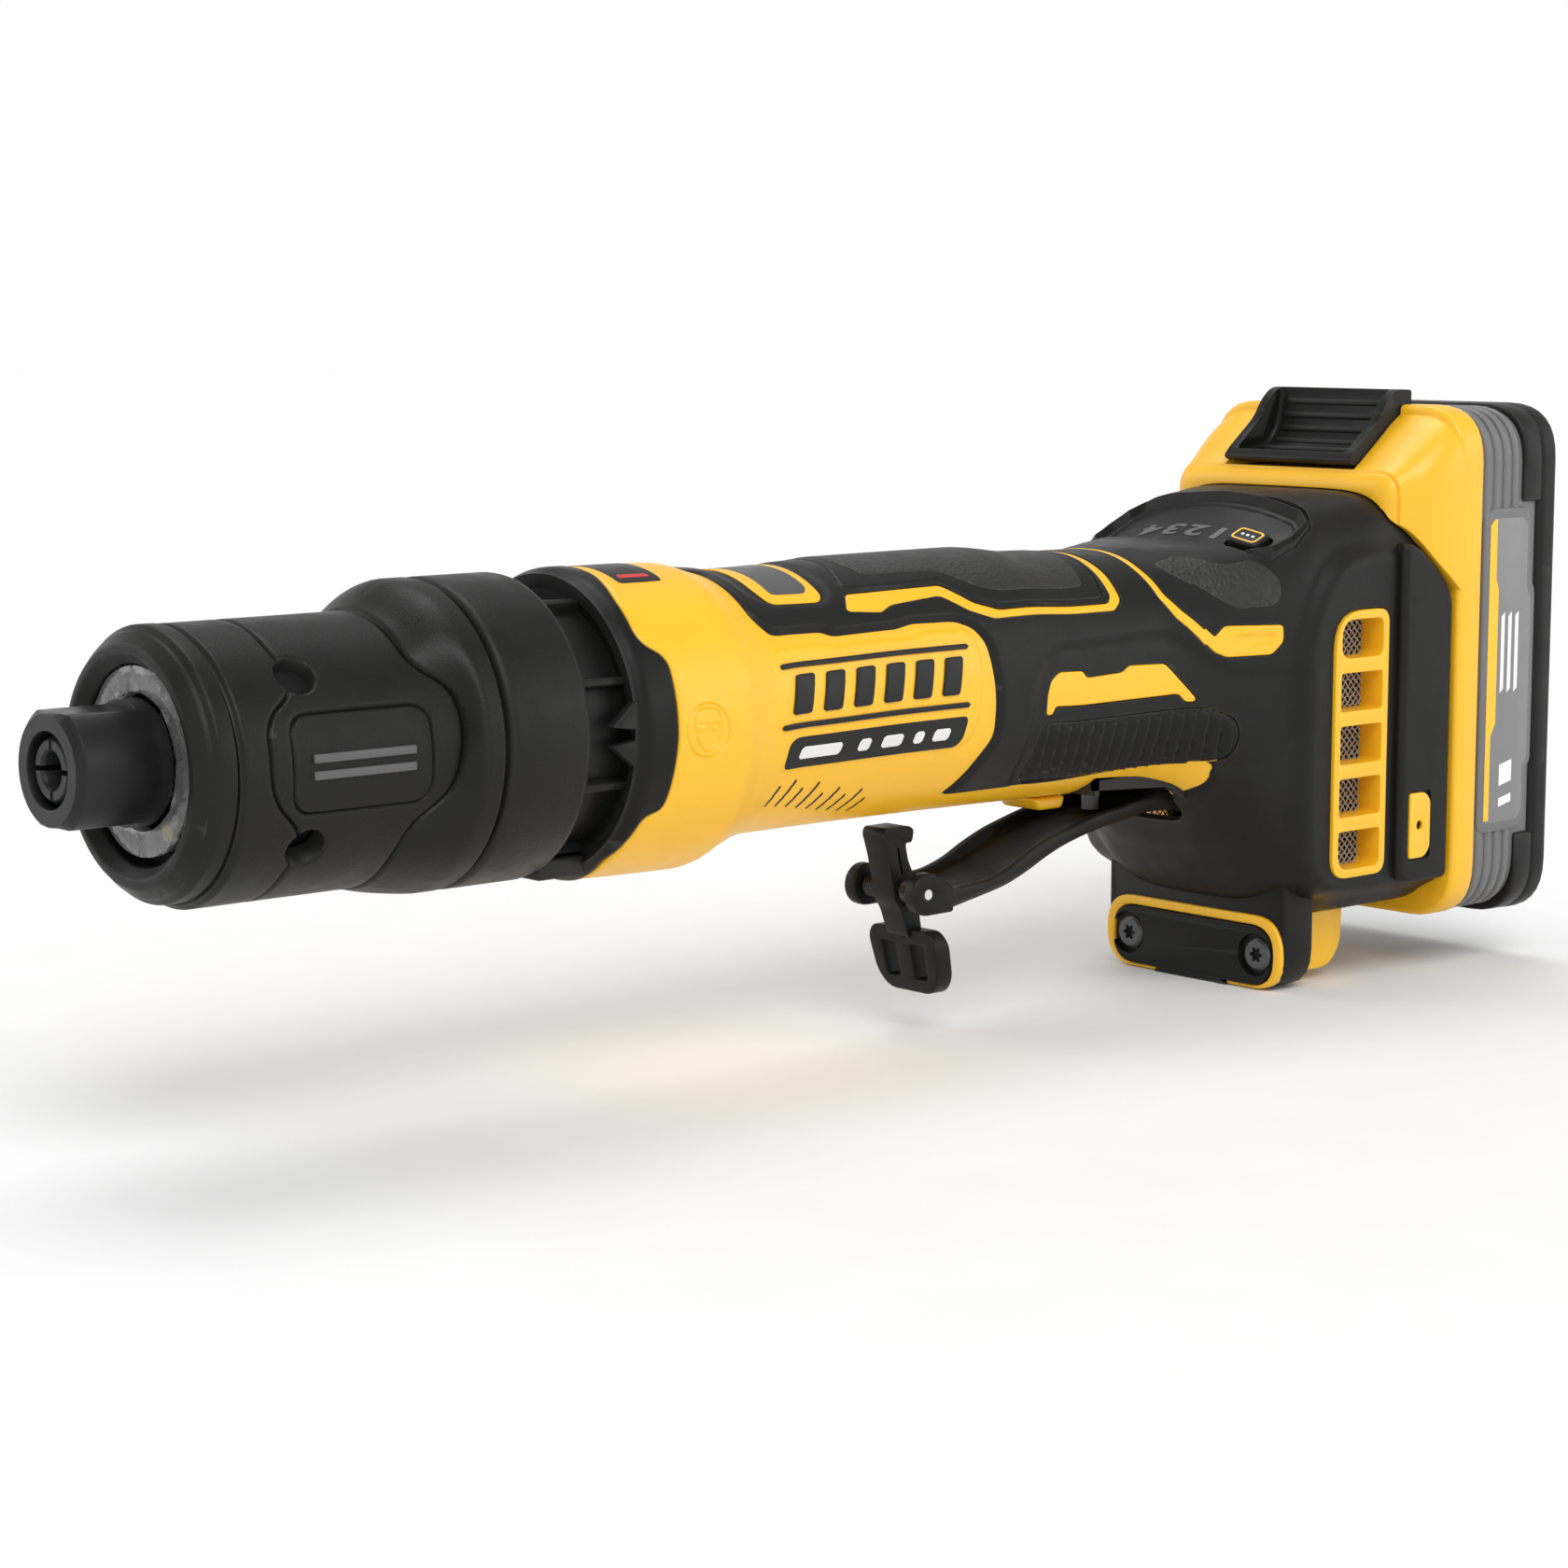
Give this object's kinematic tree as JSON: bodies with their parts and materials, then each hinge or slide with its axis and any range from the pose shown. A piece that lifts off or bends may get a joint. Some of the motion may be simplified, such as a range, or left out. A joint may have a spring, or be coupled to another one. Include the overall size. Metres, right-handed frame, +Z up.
{
  "type": "cordless die grinder",
  "caption": "Straight cordless die grinder with collet nose, paddle lever with lock-off, vented foot and slide-on battery pack.",
  "frame": {"origin": "bottom centre of the bounding box, on the sole of the leg", "axes": "+X runs along the spindle from the collet to the battery, +Z is up, -Y is the side with the screw tips and the speed button"},
  "size_m": [0.3824, 0.0766, 0.136],
  "materials": {
    "yellow_plastic": "moulded, satin",
    "black_plastic": "moulded, fine grain",
    "black_rubber": "soft overmould, fine grain",
    "grey_rubber": "textured grip rubber",
    "grey_plastic": "moulded, satin",
    "clear_plastic": "clear diffuser",
    "circuit_board": "solder mask",
    "cast_aluminium": "cast",
    "bright_steel": "ground",
    "dark_steel": "black oxide",
    "copper": "enamelled windings",
    "brass": "plated",
    "cell_foil": "foil pouch",
    "label_film": "printed film"
  },
  "bodies": {
    "housing": {"nose_ring": "black_plastic", "led_lens": "clear_plastic", "led_board": "circuit_board", "led_chip": "clear_plastic", "nose_housing": "cast_aluminium", "nose_boot": "black_rubber", "front_collar": "black_plastic", "exhaust_ring": "black_plastic", "front_bearing_outer_race": "bright_steel", "rear_bearing_outer_race": "bright_steel", "motor_stator": "bright_steel", "stator_windings": "copper", "housing_right": "yellow_plastic", "housing_left": "yellow_plastic", "grip_cover_right": "black_rubber", "grip_cover_left": "black_rubber", "top_grip_pad": "grey_rubber", "speed_panel": "black_plastic", "housing_screw_1": "dark_steel", "housing_screw_2": "dark_steel", "housing_screw_3": "dark_steel", "housing_screw_4": "dark_steel", "leg_plate": "black_plastic", "plate_screw_right": "dark_steel", "plate_screw_left": "dark_steel", "toe_block": "yellow_plastic", "vent_frame_right": "yellow_plastic", "vent_frame_left": "yellow_plastic", "vent_mesh_right": "bright_steel", "vent_mesh_left": "bright_steel", "control_board": "circuit_board", "terminal_block": "black_plastic", "terminal_blade_1": "brass", "terminal_blade_2": "brass", "microswitch": "black_plastic", "front_grip_fin": "yellow_plastic", "paddle_pin": "bright_steel", "paddle_spring": "dark_steel"},
    "spindle": {"spindle_shaft": "bright_steel", "collet": "dark_steel", "collet_nut": "dark_steel", "rotor_core": "bright_steel", "cooling_fan": "black_plastic", "front_bearing_inner_race": "bright_steel", "rear_bearing_inner_race": "bright_steel"},
    "paddle": {"paddle_lever": "black_plastic", "lock_pin": "bright_steel", "lock_spring": "dark_steel"},
    "lock_off": {"lock_lever": "black_plastic"},
    "switch": {"switch_plunger": "grey_plastic"},
    "speed": {"speed_button": "black_rubber"},
    "battery": {"battery_case": "yellow_plastic", "battery_can": "grey_plastic", "cell_stack": "cell_foil", "battery_bumper": "black_rubber", "battery_label_right": "label_film", "battery_label_left": "label_film", "latch_spring": "bright_steel"},
    "latch": {"battery_latch": "black_plastic"},
    "gauge": {"gauge_button": "grey_plastic"}
  },
  "joints": [
    {"name": "spindle_spin", "type": "hinge", "parent": "housing", "child": "spindle", "pos_m": [-0.16775, 0, 0.0752], "axis": [1, 0, 0], "continuous": true},
    {"name": "paddle_press", "type": "hinge", "parent": "housing", "child": "paddle", "pos_m": [0.10025, 0, 0.0442], "axis": [0, 1, 0], "range_deg": [0, 5.5], "stiffness_Nm_per_rad": 1.2, "springref_deg": -20.05},
    {"name": "lock_tilt", "type": "hinge", "parent": "paddle", "child": "lock_off", "pos_m": [0.01175, 0, 0.0317], "axis": [0, -1, 0], "range_deg": [0, 20], "stiffness_Nm_per_rad": 0.02, "springref_deg": -17.19},
    {"name": "switch_press", "type": "slide", "parent": "housing", "child": "switch", "axis": [0, 0, 1], "range_m": [0, 0.0027]},
    {"name": "speed_press", "type": "slide", "parent": "housing", "child": "speed", "axis": [0, 0, -1], "range_m": [0, 0.0008], "stiffness_N_per_m": 800, "springref_m": -0.001},
    {"name": "battery_slide", "type": "slide", "parent": "housing", "child": "battery", "axis": [0, 0, 1], "range_m": [0, 0.085]},
    {"name": "latch_press", "type": "slide", "parent": "battery", "child": "latch", "axis": [1, 0, 0], "range_m": [0, 0.003], "stiffness_N_per_m": 900, "springref_m": -0.002},
    {"name": "gauge_press", "type": "slide", "parent": "battery", "child": "gauge", "axis": [0, 0, 1], "range_m": [0, 0.0005], "stiffness_N_per_m": 800, "springref_m": -0.001}
  ],
  "couplings": [
    {"joint": "switch_press", "follows": "paddle_press", "m_per_rad": 0.0275}
  ]
}
